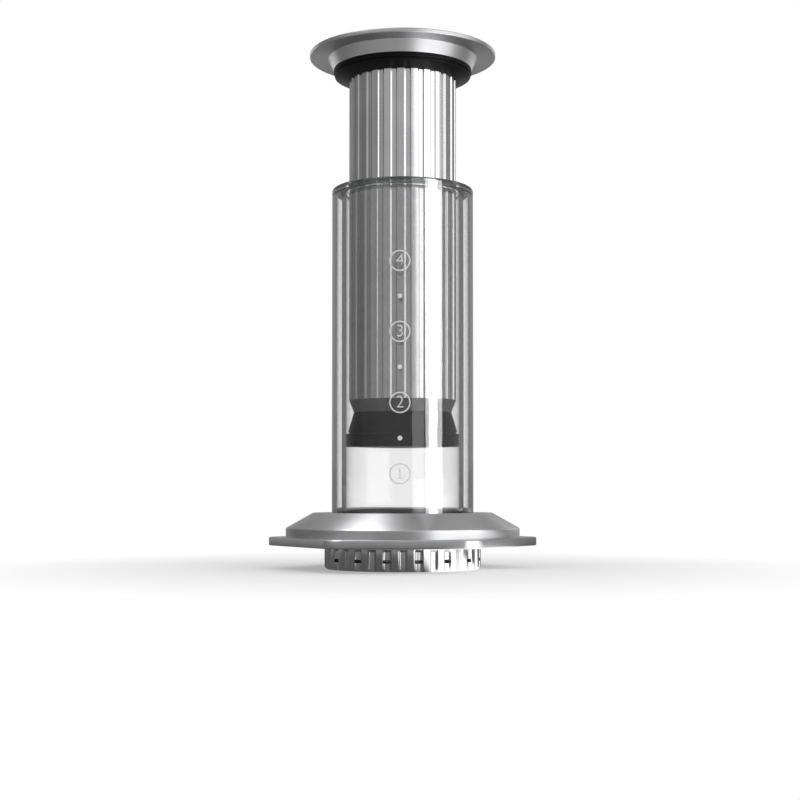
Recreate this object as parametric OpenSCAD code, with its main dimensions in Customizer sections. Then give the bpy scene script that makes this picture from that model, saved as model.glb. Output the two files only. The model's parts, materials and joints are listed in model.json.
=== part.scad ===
// Hand coffee press. A double-walled glass chamber stands on a hexagonal flange,
// a filter cap twists on below it, and a hollow plunger slides in the glass.
// Sizes are millimetres, +Z is up, and the origin is the middle of the cap's underside.
// The front of the press faces -Y.

/* [Glass chamber] */
// Bore of the glass
bore_d = 54.6; // [50:0.2:60]
// Inner glass wall
inner_wall = 2; // [1.5:0.1:3]
// Air space between the glass walls
air_gap = 2.5; // [1.5:0.1:4]
// Outer glass wall
outer_wall = 2.2; // [1.5:0.1:3]
// Thickness of the glass across the rim
rim_t = 2.6; // [2:0.1:4]
// Radius on the edges of the rim
rim_round = 1.6; // [0.6:0.1:1.9]
// Height of the glass above the collar
glass_rise = 155.8; // [130:0.2:180]
// How far the foot bead stands out from the glass
foot_out = 2.2; // [1.5:0.1:3]
// Height of the foot bead
foot_h = 3; // [2:0.1:4]

/* [Collar] */
// Flat ledge of the collar round the glass
collar_ledge = 9; // [6:0.5:14]
// How far the slope of the collar runs out
slope_run = 13; // [8:0.5:20]
// How far the slope of the collar drops
slope_drop = 7.3; // [5:0.1:10]
// Height of the upright band below the slope
band_h = 4.3; // [3:0.1:8]
// Rounding of the collar's outer edges
collar_round = 0.9; // [0.3:0.1:1.5]

/* [Flange] */
// How far the flats of the hexagon stand out from the collar
flange_margin = 1.2; // [0.6:0.1:4]
// Thickness of the flange plate
flange_t = 4; // [3:0.1:6]
// Rounding of the corners of the hexagon
flange_round = 11; // [4:0.5:20]
// Depth of the relief in the flange over the cap
relief = 0.4; // [0.2:0.1:0.8]
// Number of screws that hold the flange to the collar
screw_count = 6; // [3:1:8]
// Thread of the flange screws
screw_d = 3; // [2:0.5:4]
// Head of the flange screws
screw_head_d = 6; // [5:0.5:8]
// Length of thread in the collar
screw_bite = 5.5; // [4:0.1:6]

/* [Seals of the chamber] */
// Gasket under the foot of the glass
foot_gasket_t = 1.2; // [0.8:0.1:2]
// Gasket over the foot bead
collar_gasket_t = 0.8; // [0.5:0.1:1.5]
// Section of the O-ring in the collar
collar_oring = 2; // [1.5:0.1:2.5]
// Height of the outlet gasket
outlet_gasket_h = 1.5; // [1:0.1:2.5]
// Width of the outlet gasket
outlet_gasket_w = 2.6; // [2:0.1:3]

/* [Outlet and twist lock] */
// Wall of the outlet spigot beyond the edge of the filter
spigot_rim = 1.2; // [0.6:0.1:2]
// Width of the shoulder that the flange holds
shoulder_w = 4.8; // [3:0.1:6]
// Thickness of the shoulder
shoulder_t = 2; // [1.5:0.1:2.5]
// Depth of the two flats on the shoulder
shoulder_flat = 2; // [1:0.1:2.5]
// Number of twist-lock lugs
lug_count = 5; // [3:1:5]
// Angle that each lug spans
lug_span = 28; // [16:1:30]
// How far the lugs reach out
lug_reach = 1.5; // [1:0.1:2.5]
// Thickness of the lugs
lug_t = 2; // [1.5:0.1:2.4]
// Height of the lugs above the end of the spigot
lug_rise = 2.1; // [1.5:0.1:2.8]
// Angle that each stop spans
stop_span = 3; // [2:0.5:4]

/* [Filter cap] */
// Height of the cap
cap_h = 10.8; // [10:0.1:14]
// Thickness of the cap's floor
cap_floor = 1.6; // [1.2:0.1:3]
// Wall of the cap
cap_wall = 2.4; // [1.8:0.1:4]
// Rounding of the cap's lower edge
cap_round = 1.4; // [1:0.1:3]
// Number of upright flutes round the cap
flute_count = 32; // [20:2:36]
// Depth of the flutes
flute_depth = 1.1; // [0.4:0.1:1.2]
// Width of the bottom of each flute
flute_w = 3.4; // [2:0.1:4]
// Width of each sloping side of a flute
flute_side = 0.7; // [0.3:0.1:1]
// Height of the plain rim above the flutes
flute_rim = 0.6; // [0.4:0.1:2]
// Width of the slots in the flutes
slot_w = 3.8; // [2:0.1:4]
// Height of the slots
slot_h = 1.6; // [1:0.1:2]
// Height of the middle of the slots
slot_z = 4.7; // [4:0.1:6]
// Diameter of the drain holes
drain_d = 1.8; // [1:0.1:2.5]
// Spacing of the drain holes
drain_pitch = 5; // [4:0.1:7]
// Depth of the filter's seat
seat_depth = 0.5; // [0.3:0.1:0.8]

/* [Filter] */
// How far the paper reaches past the bore
filter_lap = 4.7; // [4:0.1:7]
// Thickness of the paper
filter_t = 0.3; // [0.2:0.1:0.6]

/* [Plunger] */
// How far the plunger is drawn up
plunger_lift = 52.4; // [20:0.2:100]
// Room left below the seal when the plunger is down
puck_h = 2.7; // [1:0.1:8]
// Room between the tube and the glass
tube_gap = 1.55; // [1:0.05:3]
// Wall of the tube
tube_wall = 2.2; // [1.6:0.1:3]
// Number of ribs on the tube
rib_count = 25; // [12:1:30]
// Depth of the grooves between the ribs
rib_depth = 0.55; // [0.2:0.05:0.8]
// Width of the bottom of each groove
groove_w = 2.4; // [1.5:0.1:3]
// Width of each sloping side of a groove
groove_side = 0.45; // [0.2:0.05:0.6]

/* [Press plate] */
// How far the plate stands out past the cone
plate_overhang = 9; // [5:0.5:16]
// Thickness of the plate's rim
plate_t = 2.1; // [1.5:0.1:4]
// Rounding of the plate's edges
plate_round = 0.6; // [0.2:0.1:0.7]
// Height of the cone
cone_h = 5.6; // [3:0.1:9]
// How far the cone widens upwards
cone_flare = 2.5; // [1:0.1:5]
// Length of the plate's spigot in the tube
plate_spigot_h = 10; // [8:0.5:16]

/* [Bumper] */
// How far the edge of the bumper stays inside the glass
bumper_inset = 0.6; // [0:0.1:2]
// Height of the bumper's side
bumper_h = 3.2; // [2:0.1:5]
// How far the underside drops towards the tube
bumper_drop = 2.3; // [1:0.1:4]
// Rounding of the bumper's lower edge
bumper_round = 0.9; // [0.4:0.1:1.4]

/* [Seal and carrier] */
// Height of the carrier's taper
taper_h = 5.9; // [3:0.1:9]
// How far the neck is drawn in from the tube
neck_in = 2.3; // [1:0.1:3.5]
// Length of the carrier's spigot in the tube
carrier_spigot_h = 12; // [9:0.5:18]
// Height of the seal's flared skirt
skirt_h = 9.6; // [8:0.1:14]
// How far the skirt stays inside the lip
skirt_in = 0.9; // [0.6:0.1:1.5]
// Height of the sealing lip
lip_h = 6.3; // [4:0.1:8]
// Height of the groove over the lip
lip_groove_h = 0.7; // [0.4:0.1:1.2]
// Depth of the groove over the lip
lip_groove = 1.4; // [1:0.1:2]
// Rounding of the lip's edges
lip_round = 0.6; // [0.3:0.1:1]
// How far the underside of the seal bulges
dome_h = 0.7; // [0.5:0.1:4]
// Thickness of the seal at its middle
seal_floor = 5.2; // [4:0.1:6]
// Wall of the seal at its neck
seal_wall = 3.4; // [2.5:0.1:4]
// How far the hub holds behind the seal's neck
hub_lip = 2.4; // [1.5:0.1:3]
// Height of the hub inside the seal
hub_h = 6.4; // [6:0.1:8]

/* [Tie bolt] */
// Thread of the tie bolt
bolt_d = 6; // [5:0.5:8]
// Diameter of the bolt's head
bolt_head_d = 10; // [8:0.5:13]
// Height of the bolt's head
bolt_head_h = 4; // [3:0.1:5]
// Thickness of the washer
washer_t = 1.2; // [0.8:0.1:1.6]
// How far the washer reaches past the head
washer_rim = 1; // [0.5:0.1:2]
// Wall of the threaded boss in the press plate
boss_wall = 2.5; // [2:0.1:4]
// Thread of the bolt in the press plate
bolt_bite = 11; // [8:0.5:12]
// Section of the two O-rings in the tube
tube_oring = 2.4; // [1.8:0.1:3]

/* [Fits] */
// Gap between pieces that are fastened together
fit_gap = 0.05; // [0.02:0.01:0.2]
// Gap between the seal's lip and the glass
lip_gap = 0.1; // [0.05:0.01:0.2]
// Gap between pieces that turn on each other
turn_gap = 0.35; // [0.2:0.05:0.6]
// Gap between the outlet gasket and the filter
filter_gap = 0.1; // [0.05:0.05:0.2]
// Gap between the cap and the flange
cap_gap = 0.4; // [0.2:0.1:1]

/* [Hidden] */
$fn = 96;

// Small lengths that cuts run past a face, or lugs run into a wall
past = 1;
// Steps in each rounded corner of a turned profile, and in the seal's dome
arc_steps = 6;
dome_steps = 4;
// Direction of the front
front = -90;
// Turn of the tube's grooves from the front
groove_turn = 5.2;
// Angle between a lug and its stop
stop_gap = 0.8;

// Radii of the glass
bore_r = bore_d / 2;
gap_in_r = bore_r + inner_wall;
gap_out_r = gap_in_r + air_gap;
glass_r = gap_out_r + outer_wall;
foot_r = glass_r + foot_out;

// Radii of the outlet and the cap
filter_r = bore_r + filter_lap;
spigot_r = filter_r + spigot_rim;
shoulder_r = spigot_r + shoulder_w;
lug_r = spigot_r + lug_reach;
cap_in_r = lug_r + turn_gap;
cap_r = cap_in_r + cap_wall;

// Radii of the collar and the flange
collar_top_r = glass_r + collar_ledge;
collar_r = collar_top_r + slope_run;
flat_r = collar_r + flange_margin;
screw_circle_r = (shoulder_r + collar_r) / 2;

// Radii of the plunger
tube_r = bore_r - tube_gap;
tube_in_r = tube_r - tube_wall;
lip_r = bore_r - lip_gap;
skirt_r = lip_r - skirt_in;
neck_r = tube_r - neck_in;
stem_r = neck_r - seal_wall;
hub_r = stem_r + hub_lip;
bumper_r = glass_r - bumper_inset;
cone_r = bumper_r + cone_flare;
plate_r = cone_r + plate_overhang;
plug_r = tube_in_r - fit_gap;
plug_wall = tube_oring + past;
plug_in_r = plug_r - plug_wall;
bolt_r = bolt_d / 2;
boss_r = bolt_r + boss_wall;
washer_r = bolt_head_d / 2 + washer_rim;

// Heights of the cap, the outlet and the flange
filter_top = cap_floor + filter_t;
outlet_gasket_z = filter_top + filter_gap;
spigot_z = cap_floor + max(seat_depth, filter_t) + 2 * filter_gap;
lug_z = spigot_z + lug_rise;
cap_lug_z = lug_z + lug_t + turn_gap / 2;
flange_z = cap_h + cap_gap;
flange_top = flange_z + flange_t;

// Heights of the glass and the collar
glass_z = flange_top + foot_gasket_t;
bead_top = glass_z + foot_h;
clamp_z = bead_top + collar_gasket_t;
band_top = flange_top + band_h;
collar_top = band_top + slope_drop;
collar_oring_z = (clamp_z + collar_top) / 2;
glass_top = collar_top + glass_rise;

// Heights of the plunger
seal_z = filter_top + puck_h + plunger_lift;
lip_z = seal_z + dome_h;
lip_top = lip_z + lip_h;
skirt_z = lip_top + lip_groove_h;
neck_z = skirt_z + skirt_h;
tube_z = neck_z + taper_h;
hub_z = seal_z + seal_floor;
hub_top = hub_z + hub_h;
bumper_z = glass_top + plunger_lift;
bumper_edge_z = bumper_z + bumper_drop;
cone_z = bumper_edge_z + bumper_h;
plate_z = cone_z + cone_h;
plate_top = plate_z + plate_t;
carrier_oring_z = tube_z + carrier_spigot_h / 2;
plate_oring_z = cone_z - plate_spigot_h / 2;
bolt_seat_z = hub_z + bolt_head_h + washer_t + past;
bolt_top = cone_z - plate_spigot_h + bolt_bite;

// Points along an arc of a profile, from angle a to angle b
function arc(centre, r, a, b) = [for (i = [0 : arc_steps])
    centre + r * [cos(a + (b - a) * i / arc_steps), sin(a + (b - a) * i / arc_steps)]];

// A solid turned from a profile of radius and height
module lathe(points) rotate_extrude() polygon(points);

// A plain ring
module ring(r_in, r_out, low, high)
    lathe([[r_in, low], [r_out, low], [r_out, high], [r_in, high]]);

// A round ring of the given section
module o_ring(r, z, section) rotate_extrude() translate([r, z]) circle(d = section);

// The groove that an O-ring lies in, open to one side
module o_ring_groove(r_in, r_out, z, section)
    ring(r_in, r_out, z - section / 2 - fit_gap, z + section / 2 + fit_gap);

// Copies of the children spaced evenly round the axis
module around(count, first = 0)
    for (i = [0 : count - 1]) rotate(first + i * 360 / count) children();

// A piece of a ring that spans an angle, centred on +X
module sector(r_in, r_out, low, high, span)
    rotate(-span / 2) rotate_extrude(angle = span)
        translate([r_in, low]) square([r_out - r_in, high - low]);

// Hexagon with rounded corners, a corner to each side
module hexagon_outline()
    offset(r = flange_round) circle(r = (flat_r - flange_round) / cos(30), $fn = 6);

// Round shoulder with a flat at the front and the back
module shoulder_outline(gap = 0) intersection() {
    circle(r = shoulder_r + gap);
    square([2 * (shoulder_r + gap), 2 * (shoulder_r - shoulder_flat + gap)], center = true);
}

// Outline of an upright groove with sloping sides, in a round side, on +X
module groove_outline(r, depth, width, side) {
    half = width / 2;
    mouth = half + side * (1 + past / depth);
    polygon([[r - depth, -half], [r + past, -mouth], [r + past, mouth], [r - depth, half]]);
}

// Countersunk screw, head down, drawn from the underside of the flange
module countersunk_screw(gap, length) {
    head_r = screw_head_d / 2;
    shank_r = screw_d / 2;
    lathe([[0, -gap], [head_r + gap, -gap], [shank_r + gap, head_r - shank_r],
        [shank_r + gap, length + gap], [0, length + gap]]);
}

// Disc that the hand presses on, with a cone and a hollow spigot under it
module press_plate() color("silver") difference() {
    lathe(concat(
        [[0, plate_top]],
        [[0, bolt_top - bolt_bite], [boss_r, bolt_top - bolt_bite], [boss_r, plate_z],
            [plug_in_r, plate_z], [plug_in_r, cone_z - plate_spigot_h],
            [plug_r, cone_z - plate_spigot_h], [plug_r, cone_z],
            [bumper_r, cone_z], [cone_r, plate_z]],
        arc([plate_r - plate_round, plate_z + plate_round], plate_round, -90, 0),
        arc([plate_r - plate_round, plate_top - plate_round], plate_round, 0, 90)));
    translate([0, 0, bolt_top - bolt_bite - past])
        cylinder(r = bolt_r + fit_gap, h = bolt_bite + past + fit_gap);
    o_ring_groove(plug_r - tube_oring - fit_gap, plug_r + past, plate_oring_z, tube_oring);
}

// Keeps water out of the top of the tube
module plate_o_ring() color("dimgray")
    o_ring(plug_r - tube_oring / 2, plate_oring_z, tube_oring);

// Silicone ring under the plate that lands on the glass rim
module bumper_ring() color("black") {
    slope = atan2(bumper_drop, bumper_r - tube_r);
    lathe(concat(
        [[tube_r + fit_gap, cone_z], [tube_r + fit_gap, bumper_z]],
        arc([bumper_r - bumper_round, bumper_edge_z + bumper_round], bumper_round, slope - 90, 0),
        [[bumper_r, cone_z]]));
}

// Hollow tube with upright ribs
module plunger_tube() color("silver") difference() {
    translate([0, 0, tube_z]) cylinder(r = tube_r, h = cone_z - tube_z);
    translate([0, 0, tube_z - past]) cylinder(r = tube_in_r, h = cone_z - tube_z + 2 * past);
    around(rib_count, front + groove_turn) translate([0, 0, tube_z - past])
        linear_extrude(cone_z - tube_z + 2 * past)
            groove_outline(tube_r, rib_depth, groove_w, groove_side);
}

// Long bolt from the carrier to the press plate, socket head down
module tie_bolt() color("lightgray") difference() {
    lathe([[0, bolt_top], [0, bolt_seat_z - washer_t - bolt_head_h],
        [bolt_head_d / 2, bolt_seat_z - washer_t - bolt_head_h],
        [bolt_head_d / 2, bolt_seat_z - washer_t], [bolt_r, bolt_seat_z - washer_t],
        [bolt_r, bolt_top]]);
    translate([0, 0, bolt_seat_z - washer_t - bolt_head_h - past])
        cylinder(d = bolt_d, h = bolt_head_h / 2 + past, $fn = 6);
}

// Washer under the head of the tie bolt
module tie_washer() color("lightgray")
    ring(bolt_r + fit_gap, washer_r, bolt_seat_z - washer_t, bolt_seat_z);

// Tapered hub that carries the seal and plugs the tube
module seal_carrier() color("dimgray") difference() {
    lathe([[bolt_r + fit_gap, hub_z], [hub_r, hub_z], [hub_r, hub_top], [stem_r, hub_top],
        [stem_r, neck_z], [neck_r, neck_z], [tube_r, tube_z], [plug_r, tube_z],
        [plug_r, tube_z + carrier_spigot_h], [plug_in_r, tube_z + carrier_spigot_h],
        [plug_in_r, tube_z], [bolt_r + fit_gap, tube_z]]);
    translate([0, 0, hub_z - past])
        cylinder(r = washer_r + fit_gap, h = bolt_seat_z - hub_z + past);
    o_ring_groove(plug_r - tube_oring - fit_gap, plug_r + past, carrier_oring_z, tube_oring);
}

// Keeps coffee out of the foot of the tube
module carrier_o_ring() color("dimgray")
    o_ring(plug_r - tube_oring / 2, carrier_oring_z, tube_oring);

// Silicone seal with a flared skirt, a lip that wipes the glass and a domed underside
module plunger_seal() color("black") difference() {
    lathe(concat(
        [for (i = [0 : dome_steps - 1]) [(lip_r - lip_round) * i / dome_steps,
            seal_z + dome_h * pow(i / dome_steps, 2)]],
        arc([lip_r - lip_round, lip_z + lip_round], lip_round, -90, 0),
        arc([lip_r - lip_round, lip_top - lip_round], lip_round, 0, 90),
        [[lip_r - lip_groove, lip_top], [lip_r - lip_groove, skirt_z], [skirt_r, skirt_z],
            [neck_r, neck_z - fit_gap], [0, neck_z - fit_gap]]));
    ring(0, hub_r + fit_gap, hub_z - fit_gap, hub_top + fit_gap);
    ring(0, stem_r + fit_gap, hub_top, neck_z + past);
}

// Two glass walls joined at a rounded rim, with a bead at the foot of the outer one
module glass_chamber() color("lightcyan", 0.4) lathe(concat(
    [[bore_r, glass_z]],
    arc([bore_r + rim_round, glass_top - rim_round], rim_round, 180, 90),
    arc([glass_r - rim_round, glass_top - rim_round], rim_round, 90, 0),
    [[glass_r, bead_top], [foot_r, bead_top], [foot_r, glass_z], [gap_out_r, glass_z],
        [gap_out_r, glass_top - rim_t], [gap_in_r, glass_top - rim_t], [gap_in_r, glass_z]]));

// Silicone ring that the glass stands on
module foot_gasket() color("dimgray") ring(bore_r + lip_gap, foot_r, flange_top, glass_z);

// Silicone ring between the foot bead and the collar
module collar_gasket() color("dimgray") ring(glass_r + fit_gap, foot_r, bead_top, clamp_z);

// Centres the glass in the collar
module collar_o_ring() color("dimgray")
    o_ring(glass_r + fit_gap + collar_oring / 2, collar_oring_z, collar_oring);

// Sloped metal ring that clamps the foot of the glass
module flange_collar() color("silver") difference() {
    slope = atan2(slope_drop, slope_run);
    lathe(concat(
        [[foot_r + turn_gap, flange_top]],
        [[collar_r, flange_top]],
        arc([collar_r - collar_round, band_top - collar_round], collar_round, 0, 90 - slope),
        arc([collar_top_r - collar_round, collar_top - collar_round], collar_round, 90 - slope, 90),
        [[glass_r + turn_gap, collar_top], [glass_r + turn_gap, clamp_z],
            [foot_r + turn_gap, clamp_z]]));
    o_ring_groove(glass_r, glass_r + collar_oring + 2 * fit_gap, collar_oring_z, collar_oring);
    around(screw_count) translate([screw_circle_r, 0, flange_top - past])
        cylinder(r = screw_d / 2 + fit_gap, h = screw_bite + past + fit_gap);
}

// Hexagonal plate that rests on a mug
module flange_plate() color("silver") difference() {
    translate([0, 0, flange_z]) linear_extrude(flange_t) hexagon_outline();
    translate([0, 0, flange_z - past]) cylinder(r = spigot_r + fit_gap, h = flange_t + 2 * past);
    translate([0, 0, flange_z - past]) cylinder(r = cap_r + turn_gap, h = relief + past);
    translate([0, 0, flange_top - shoulder_t]) linear_extrude(shoulder_t + past)
        shoulder_outline(fit_gap);
    around(screw_count) translate([screw_circle_r, 0, flange_z])
        countersunk_screw(fit_gap, flange_t + past);
}

// Screws that hold the collar to the flange, with hexagon sockets
module flange_screws() color("lightgray")
    around(screw_count) translate([screw_circle_r, 0, flange_z]) difference() {
        countersunk_screw(0, flange_t + screw_bite);
        translate([0, 0, -past]) cylinder(d = screw_d * 2 / 3, h = screw_d / 2 + past, $fn = 6);
    }

// Spigot below the glass, with lugs that the cap twists on to
module outlet_ring() color("lightgray") difference() {
    union() {
        translate([0, 0, spigot_z]) cylinder(r = spigot_r, h = flange_top - spigot_z);
        translate([0, 0, flange_top - shoulder_t]) linear_extrude(shoulder_t) shoulder_outline();
        around(lug_count, front)
            sector(spigot_r - past, lug_r, lug_z, lug_z + lug_t, lug_span);
        around(lug_count, front + (lug_span + stop_span) / 2 + stop_gap)
            sector(spigot_r - past, lug_r, lug_z, cap_lug_z + lug_t, stop_span);
    }
    translate([0, 0, spigot_z - past]) cylinder(r = bore_r, h = flange_top - spigot_z + 2 * past);
    outlet_gasket_ring(fit_gap, spigot_z - past);
}

// Ring of the outlet gasket, grown by a gap and carried down to a height
module outlet_gasket_ring(gap, low) {
    middle = (bore_r + spigot_r) / 2;
    half = outlet_gasket_w / 2 + gap;
    ring(middle - half, middle + half, low, outlet_gasket_z + outlet_gasket_h);
}

// Silicone ring that presses on the filter
module outlet_gasket() color("dimgray") outlet_gasket_ring(0, outlet_gasket_z);

// Low cap with a fluted side, slots, drain holes and twist-lock lugs
module filter_cap() color("gray") {
    difference() {
        lathe(concat(
            [[0, 0]],
            arc([cap_r - cap_round, cap_round], cap_round, -90, 0),
            [[cap_r, cap_h], [cap_in_r, cap_h], [cap_in_r, cap_floor + seat_depth],
                [filter_r + turn_gap, cap_floor + seat_depth], [filter_r + turn_gap, cap_floor],
                [0, cap_floor]]));
        around(flute_count, front) cap_flute();
        around(floor(flute_count / 2), front + 360 / flute_count)
            translate([cap_in_r - past, -slot_w / 2, slot_z - slot_h / 2])
                cube([cap_wall + 2 * past, slot_w, slot_h]);
        drain_holes();
    }
    around(lug_count, front)
        sector(spigot_r + turn_gap, cap_in_r + past, cap_lug_z, cap_lug_z + lug_t, lug_span);
}

// One flute of the cap, on +X, which slopes out to the rim at its upper end
module cap_flute() intersection() {
    top = cap_h - flute_rim;
    in_r = cap_r - flute_depth;
    translate([0, 0, -past]) linear_extrude(cap_h + past)
        groove_outline(cap_r, flute_depth, flute_w, flute_side);
    rotate([90, 0, 0]) linear_extrude(cap_r, center = true)
        polygon([[in_r - past, -past], [cap_r + past, -past], [cap_r + past, top + past],
            [in_r - past, top - flute_depth - past]]);
}

// Drain holes on circles, six more on each circle than on the last
module drain_holes() {
    circles = floor((bore_r - drain_d) / drain_pitch);
    drain_hole();
    for (k = [1 : circles]) around(6 * k) translate([k * drain_pitch, 0, 0]) drain_hole();
}

module drain_hole() translate([0, 0, -past]) cylinder(d = drain_d, h = cap_floor + 2 * past);

// Paper filter
module filter_disc() color("wheat")
    translate([0, 0, cap_floor]) cylinder(r = filter_r, h = filter_t);

press_plate();
plate_o_ring();
bumper_ring();
plunger_tube();
tie_bolt();
tie_washer();
seal_carrier();
carrier_o_ring();
plunger_seal();
glass_chamber();
foot_gasket();
collar_gasket();
collar_o_ring();
flange_collar();
flange_plate();
flange_screws();
outlet_ring();
outlet_gasket();
filter_cap();
filter_disc();
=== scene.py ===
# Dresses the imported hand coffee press: turned and ribbed metal, silicone, double-walled glass
# and printed level marks, on a pale floor in soft studio light.

import json
import math

import bmesh
import bpy
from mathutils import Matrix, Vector


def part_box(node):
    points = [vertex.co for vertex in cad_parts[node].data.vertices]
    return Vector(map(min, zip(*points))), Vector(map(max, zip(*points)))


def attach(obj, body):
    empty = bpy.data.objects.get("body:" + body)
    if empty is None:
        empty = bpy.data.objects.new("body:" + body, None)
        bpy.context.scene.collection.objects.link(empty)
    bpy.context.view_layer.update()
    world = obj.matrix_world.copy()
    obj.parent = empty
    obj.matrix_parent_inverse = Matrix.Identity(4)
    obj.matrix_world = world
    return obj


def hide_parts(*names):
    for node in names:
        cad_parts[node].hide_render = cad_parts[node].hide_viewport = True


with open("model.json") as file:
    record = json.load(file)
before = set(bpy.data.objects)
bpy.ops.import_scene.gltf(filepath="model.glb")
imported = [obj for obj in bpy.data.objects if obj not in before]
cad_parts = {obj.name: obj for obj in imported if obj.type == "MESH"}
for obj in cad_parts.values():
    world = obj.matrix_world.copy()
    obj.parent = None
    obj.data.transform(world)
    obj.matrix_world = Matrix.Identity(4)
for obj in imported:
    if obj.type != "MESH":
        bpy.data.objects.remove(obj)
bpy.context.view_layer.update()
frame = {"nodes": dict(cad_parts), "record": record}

MM = 0.001
FULL_TURN = 2 * math.pi
FRONT = -math.pi / 2
UPRIGHT = (math.pi / 2, 0, 0)


def span(node):
    """Radius, lowest and highest point of a round node of the frame."""
    low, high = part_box(node)
    return max(high.x, -low.x), low.z, high.z


# Round pieces, as the frame has them
plate_r, plug_low, plate_top = span("press_plate")
bumper_r, bumper_low, bumper_top = span("bumper_ring")
tube_r, tube_low, tube_top = span("plunger_tube")
hub_low, carrier_top = span("seal_carrier")[1:]
lip_r, seal_low, neck_top = span("plunger_seal")
foot_r, glass_low, glass_top = span("glass_chamber")
collar_r, collar_low, collar_top = span("flange_collar")
cap_r, cap_low, cap_top = span("filter_cap")
flange_low, flange_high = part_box("flange_plate")

# Press plate
RIM_H = 2.1 * MM
RIM_OVERHANG = 9 * MM
RIM_ROUND = 0.6 * MM
CONE_H = 5.6 * MM
CONE_TOP_ROUND = 0.4 * MM
CONE_LOW_ROUND = 0.3 * MM
PLUG_GAP = 0.05 * MM
PLUG_WALL = 3.4 * MM
BOSS_R = 5.5 * MM
BOLT_R = 3.05 * MM
BOLT_BITE = 11 * MM

# Bumper
BUMPER_DROP = 2.3 * MM
BUMPER_ROUND = 0.4 * MM
BEAD_H = 2.2 * MM
BEAD_ROUND = 0.9 * MM
BEAD_GROOVE = 0.7 * MM
BEAD_OUT = 0.5 * MM

# Tube
TUBE_WALL = 2.2 * MM
RIBS = 25
STEPS_PER_RIB = 36
RIB_DEPTH = 0.55 * MM
GROOVE_HALF = math.radians(2)
GROOVE_TURN = math.radians(5.2)
# Shares of its depth that the curved side of a groove takes in its steps
GROOVE_CURVE = (0.15, 0.35, 0.35, 0.15)

# Seal and its carrier
CARRIER_ROUND = 0.2 * MM
NECK_IN = 2.3 * MM
TAPER_H = 5.9 * MM
SEAL_WALL = 3.4 * MM
HUB_LIP = 2.4 * MM
HUB_H = 6.4 * MM
WASHER_R = 6.05 * MM
BOLT_SEAT = 6.2 * MM
DOME_H = 0.7 * MM
DOME_STEPS = 8
LIP_H = 6.3 * MM
LIP_ROUND = 0.6 * MM
# How much further than the solid's lip this one reaches towards the glass
LIP_OUT = 0.05 * MM
LIP_GROOVE = 1.4 * MM
LIP_GROOVE_H = 0.7 * MM
SKIRT_IN = 0.9 * MM
SKIRT_ROUND = 0.3 * MM

# Glass
FOOT_OUT = 2.2 * MM
FOOT_H = 3 * MM
FOOT_ROUND = 0.5 * MM
FOOT_EDGE = 0.3 * MM
OUTER_WALL = 2.2 * MM
AIR_GAP = 2.5 * MM
GAP_ROUND = 1.2 * MM
INNER_WALL = 2 * MM
RIM_GLASS = 2.6 * MM
GLASS_ROUND = 1.6 * MM

# Collar and flange
COLLAR_LEDGE = 9 * MM
SLOPE_DROP = 7.3 * MM
COLLAR_ROUND = 0.9 * MM
COLLAR_EDGE = 0.2 * MM
COLLAR_MOUTH = 0.4 * MM
COLLAR_GAP = 0.35 * MM
CLAMP_H = 5 * MM
FLANGE_ROUND = 11 * MM
FLANGE_EDGE = 0.6 * MM
RELIEF_R = cap_r + COLLAR_GAP
RELIEF_H = 0.4 * MM
OUTLET_R = 33.25 * MM
SHOULDER_R = 38.05 * MM
SHOULDER_H = 2 * MM
SCREWS = 6
SCREW_CIRCLE = 47 * MM
SCREW_HEAD_R = 3.05 * MM
SCREW_R = 1.55 * MM

# Filter cap
CAP_WALL = 2.4 * MM
CAP_FLOOR = 1.6 * MM
CAP_ROUND = 1.4 * MM
SEAT_DEPTH = 0.5 * MM
SEAT_R = 32.35 * MM
FLUTES = 32
STEPS_PER_FLUTE = 36
FLUTE_DEPTH = 1.1 * MM
FLUTE_HALF = math.radians(1.5625)
# The same shares for a flute
FLUTE_CURVE = (0.1, 0.15, 0.25, 0.25, 0.15, 0.1)
FLUTE_RIM = 0.6 * MM
SLOT_W = 3.8 * MM
SLOT_H = 1.6 * MM
SLOT_Z = 4.7 * MM
DRAIN_R = 0.9 * MM
DRAIN_PITCH = 5 * MM
DRAIN_CIRCLES = 5
LUGS = 5
LUG_SPAN = math.radians(28)
LUG_REACH = 1.5 * MM
LUG_LOW = 6.575 * MM
LUG_H = 2 * MM

# Level marks
MARK_X = -1.3 * MM
MARK_FIRST_Z = 45 * MM
MARK_SPACING = 32.75 * MM
MARK_DIGITS = "1234"
# Bars of the figure 1: its stem, foot and flag, each with its place across and up, width,
# height and turn
ONE_BARS = ((0, 0.2 * MM, 0.5 * MM, 4.2 * MM, 0), (0, -2.1 * MM, 1.9 * MM, 0.4 * MM, 0),
            (-0.62 * MM, 1.9 * MM, 0.4 * MM, 1.2 * MM, math.radians(55)))
MARK_RING_R = 4.9 * MM
MARK_STROKE = 0.6 * MM
MARK_DOT_R = 1.1 * MM
DIGIT_SIZE = 8 * MM
DIGIT_THIN = 0.1 * MM
PRINT_T = 0.05 * MM
PRINT_SLICE = 0.5 * MM

# Fineness of the meshes
SPIN_STEPS = 144
GLASS_STEPS = 192
LUG_STEPS = 12
FLOOR_STEPS = 128
RING_STEPS = 72
DOT_STEPS = 32
SCREW_STEPS = 32
DRAIN_STEPS = 16
CORNER_ARCS = 16
EDGE_ARCS = 3
ARC_STEP = math.radians(15)
SAME_PLACE = 0.002 * MM
SMOOTH_BELOW = math.radians(34)
EASED_EDGE = 0.1 * MM
TUBE_SHARP = math.radians(50)
CAP_SHARP = math.radians(40)
PAST = 1 * MM


# Shaping

def clear_selection():
    bpy.ops.object.select_all(action="DESELECT")


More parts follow.
